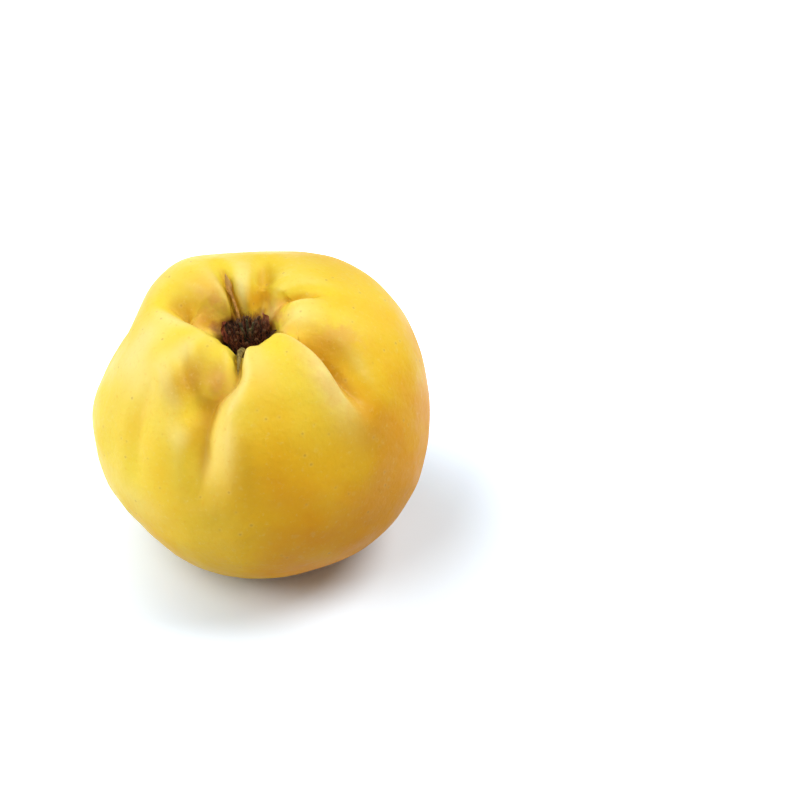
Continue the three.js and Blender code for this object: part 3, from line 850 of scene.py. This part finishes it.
HAIRS = 420
HAIR_RINGS = 5
HAIR_SIDES = 3
HAIR_RADIUS = 0.07
HAIR_TAPER = 0.8                        # share of the radius lost at the tip
HAIR_LENGTHS = (2.2, 6.0)
HAIR_LEAN = 0.34                        # to any side, in lengths, and so are the next two
HAIR_SPLAY = 0.05                       # outwards, for each mm from the middle
HAIR_CURL = 0.30
DOWN_SEED = 7
DOWN_FLOOR = 28.25                      # height along the fruit's axis
DOWN_ROOTS = 4.9                        # radius that the hairs' roots keep to
DOWN_BARE = 0.03                        # share of that area left bare in the middle
DOWN_REACH = 5.7                        # radius that the hairs keep to
DOWN_DARK = (0.060, 0.016, 0.010)
DOWN_LIGHT = (0.34, 0.12, 0.058)


def make_down():
    """Along a hair, its place leaves its root by its lean times the share of its length, and its
    curl times that share's square. Its section is a triangle whose radius falls evenly."""
    rng = np.random.default_rng(DOWN_SEED)
    azimuth = rng.uniform(0, 2 * math.pi, HAIRS)
    root = np.stack([np.cos(azimuth), np.sin(azimuth)], -1)
    root = root * np.sqrt(rng.uniform(DOWN_BARE, 1, (HAIRS, 1))) * DOWN_ROOTS
    length = rng.uniform(*HAIR_LENGTHS, HAIRS)
    lean = rng.normal(0, HAIR_LEAN, (HAIRS, 2)) + HAIR_SPLAY * root
    curl = rng.normal(0, HAIR_CURL, (HAIRS, 2))
    u = np.linspace(0, 1, HAIR_RINGS)[None, :, None]
    flat = root[:, None] + length[:, None, None] * (lean[:, None] * u + curl[:, None] * u * u)
    away = np.linalg.norm(flat, axis=-1, keepdims=True)
    flat *= np.minimum(1, DOWN_REACH / np.maximum(away, 1e-6))
    height = DOWN_FLOOR + length[:, None] * u[..., 0]
    middle = np.concatenate([flat, height[..., None]], -1)
    thin = HAIR_RADIUS * (1 - HAIR_TAPER * u)
    angle = np.arange(HAIR_SIDES) * 2 * math.pi / HAIR_SIDES
    ring = np.stack([np.cos(angle), np.sin(angle), 0 * angle], -1)
    points = leaning(middle[:, :, None] + thin[..., None] * ring)
    first = np.arange(HAIRS)[:, None, None] * HAIR_RINGS * HAIR_SIDES
    low = first + np.arange(HAIR_RINGS - 1)[None, :, None] * HAIR_SIDES
    high = low + HAIR_SIDES
    column = np.arange(HAIR_SIDES)
    following = (column + 1) % HAIR_SIDES
    quads = np.stack([low + column, low + following, high + following, high + column], -1)
    feet = first[:, 0] + column[::-1]
    tips = first[:, 0] + (HAIR_RINGS - 1) * HAIR_SIDES + column
    faces = quads.reshape(-1, 4).tolist() + feet.tolist() + tips.tolist()
    mesh = bpy.data.meshes.new("calyx_down")
    mesh.from_pydata(points.reshape(-1, 3).tolist(), [], faces)
    down = new_object("calyx_down", mesh)
    mesh.materials.append(dried_material("down_dry", DOWN_DARK, DOWN_LIGHT))
    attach(down, "root")


make_down()

# ---------------------------------------------------------------- the stalk

# A short stub of the woody stalk, grown from the bottom of the cavity underneath, where the fruit
# was pulled from the tree. Its bark is knobbly, and its fibres are torn at the broken end.

STALK_LENGTH = 2.1
STALK_RADIUS = 1.5
STALK_TOP = -35.9
STALK_GRID = (60, 48)                   # rows along it and columns round it
# its profile from the broken end, in radii, and height over that end
STALK_FLARE = [(1.2, 0.1), (1.25, 0.6), (1, 1.2)]
# and on to the fruit: in radii, and depth under its top
STALK_NECK = [(1, 0.2), (0.8, 0)]
# knobs: share of the radius that stays, and height and number of two waves round it
STALK_SHARE = 0.93
KNOBS = (0.05, 5)
FINE_KNOBS = (0.02, 13)
KNOB_TWIST = 3                          # radians to the mm
TORN_HEIGHT = 0.16
TORN_LENGTH = 0.7                       # of the broken end
TEARS = (7, 3)                          # two waves round it, multiplied
FINE_TEARS = (0.4, 17)                  # height, in the others', and number round it
LEAST_HEIGHT = 0.02                     # of the broken end over its own level
COARSE_FIBRES = 1500.0                  # to the metre
BARK_DARK = (0.045, 0.022, 0.009)
BARK_LIGHT = (0.26, 0.15, 0.065)


def make_stalk():
    """A lathe between the torn end and the fruit. Its radius is the profile's times two waves
    round it, and the broken end's height is a product of two waves and a finer one."""
    end = STALK_TOP - STALK_LENGTH
    low = [(STALK_RADIUS * share, end + height) for share, height in STALK_FLARE]
    high = [(STALK_RADIUS * share, STALK_TOP - depth) for share, depth in STALK_NECK]
    profile = np.array([(0, end), *low, *high, (0, STALK_TOP)])
    rows, columns = STALK_GRID
    section = spread_evenly(catmull_rom(profile), np.linspace(1, 0, rows))[0]
    angle = np.linspace(0, 2 * math.pi, columns, endpoint=False)
    knob, knobs = KNOBS
    fine, fines = FINE_KNOBS
    knobbly = STALK_SHARE + knob * np.cos(knobs * angle + KNOB_TWIST * section[:, 1:])
    radius = section[:, :1] * (knobbly + fine * np.cos(fines * angle))
    fibres = np.sin(TEARS[0] * angle) * np.sin(TEARS[1] * angle + 1)
    fibres = fibres + np.sin(FINE_TEARS[1] * angle) * FINE_TEARS[0]
    torn = TORN_HEIGHT * fibres * smoothstep(-section[:, 1:], -end - TORN_LENGTH, -end)
    torn = torn * section[:, :1] / STALK_RADIUS
    height = np.maximum(section[:, 1:] + torn, end + LEAST_HEIGHT)
    rings = np.stack([radius * np.cos(angle), radius * np.sin(angle), height], -1)
    stalk = closed_mesh("stalk_wood", leaning(rings))
    bark = dried_material("stalk_bark", BARK_DARK, BARK_LIGHT, fibres=COARSE_FIBRES)
    stalk.data.materials.append(bark)
    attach(stalk, "root")
    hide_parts("stalk_stub")


make_stalk()

# ---------------------------------------------------------------- the floor, lights and view

# A plain sheet of pale paper that the fruit stands on, which goes to plain white away from it. Six
# soft lamps stand round it, the strongest at its left and high at its right, and a camera looks
# down on it from the front.

FLOOR_HALF = 3.0                        # these are in metres
FLOOR_FADING = (0.028, 0.096)           # distances at which its white sets in and is full
SHADOW_MIDDLE = (0.018, -0.008, 0)      # from here
FLOOR_LIT = (0.50, 0.47, 0.42, 1)       # its colour as it throws light on the fruit
FLOOR_SEEN = (0.85, 0.93, 1.0, 1)       # and as the camera sees it
FLOOR_GLOW = (0.72, 0.95, 1.25, 1)      # the tint with which its white sets in
WHITE = (1, 1, 1, 1)

# each lamp: azimuth and elevation, in degrees, seen from the fruit, size in metres and watts
LAMPS = {
    "front_left": (227, 50, 0.6, 4.8),
    "left": (182, 13, 0.5, 4.6),
    "right": (8, 55, 0.6, 7.5),
    "back_right": (45, 13, 0.5, 0.9),
    "front": (280, 35, 0.6, 1.15),
    "back": (105, 4, 0.6, 1.8),
}
LAMP_DISTANCE = 1.0

CAMERA_ELEVATION = 35
CAMERA_DISTANCE = 0.5855
CAMERA_LENS = 100
SEEN_TO_THE_RIGHT = 0.0364              # of the fruit's middle, in the middle of the view
SEEN_ABOVE = 0.0024


def backdrop_share(tree):
    """1 for what the camera sees, also in a gloss or through glass, and 0 for other light."""
    path = node(tree, "LightPath").outputs
    seen = worked(tree, "MAXIMUM", path["Is Camera Ray"], path["Is Glossy Ray"])
    return worked(tree, "MAXIMUM", seen, path["Is Transmission Ray"])


def make_floor():
    """One flat square, pale and matt, which the camera sees as plain white away from the fruit."""
    mesh = bpy.data.meshes.new("floor")
    corners = [(-1, -1), (1, -1), (1, 1), (-1, 1)]
    places = [(FLOOR_HALF * x, FLOOR_HALF * y, 0) for x, y in corners]
    mesh.from_pydata(places, [], [(0, 1, 2, 3)])
    floor = new_object("floor", mesh)
    made, tree, shader = material("floor_paper")
    seen = backdrop_share(tree)
    tree.links.new(mixed(tree, seen, FLOOR_LIT, FLOOR_SEEN), shader.inputs["Base Color"])
    place = node(tree, "TexCoord").outputs["Object"]
    away = node(tree, "VectorMath", {0: place, 1: SHADOW_MIDDLE}, operation="DISTANCE")
    glow = ranged(tree, away.outputs["Value"], *FLOOR_FADING)
    tree.links.new(mixed(tree, glow, FLOOR_GLOW, WHITE), shader.inputs["Emission Color"])
    strength = worked(tree, "MULTIPLY", seen, glow)
    tree.links.new(strength, shader.inputs["Emission Strength"])
    shader.inputs["Roughness"].default_value = 0.9
    mesh.materials.append(made)


def make_lamp(name, azimuth, elevation, size, power):
    """A round soft lamp that faces the fruit."""
    turn = Matrix.Rotation(math.radians(azimuth), 3, "Z")
    turn = turn @ Matrix.Rotation(-math.radians(elevation), 3, "Y")
    place = fruit_middle + turn @ Vector((LAMP_DISTANCE, 0, 0))
    lamp = bpy.data.lights.new(name, "AREA")
    lamp.shape = "DISK"
    lamp.size = size
    lamp.energy = power
    holder = new_object(name, lamp)
    holder.location = place
    holder.rotation_mode = "QUATERNION"
    holder.rotation_quaternion = (fruit_middle - place).to_track_quat("-Z", "Y")


def make_sky():
    """White all round as the camera sees it, which throws no light on the fruit."""
    world = bpy.data.worlds.new("studio")
    world.use_nodes = True
    tree = world.node_tree
    background = tree.nodes["Background"]
    tree.links.new(backdrop_share(tree), background.inputs["Strength"])
    background.inputs["Color"].default_value = WHITE
    bpy.context.scene.world = world


def make_camera():
    """Looks down at the fruit from the front, with the fruit left of the middle of the view."""
    elevation = math.radians(CAMERA_ELEVATION)
    up = Vector((0, math.sin(elevation), math.cos(elevation)))
    back = Vector((0, -math.cos(elevation), math.sin(elevation)))
    aim = fruit_middle + Vector((SEEN_TO_THE_RIGHT, 0, 0)) + up * SEEN_ABOVE
    camera = bpy.data.cameras.new("camera")
    camera.lens = CAMERA_LENS
    holder = new_object("camera", camera)
    holder.location = aim + back * CAMERA_DISTANCE
    holder.rotation_mode = "QUATERNION"
    holder.rotation_quaternion = (-back).to_track_quat("-Z", "Y")
    bpy.context.scene.camera = holder


fruit_low, fruit_high = (Vector(corner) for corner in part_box("quince_fruit"))
fruit_middle = (fruit_low + fruit_high) / 2
make_floor()
for lamp_name, lamp_values in LAMPS.items():
    make_lamp(lamp_name, *lamp_values)
make_sky()
make_camera()
bpy.context.scene.view_settings.view_transform = "Standard"
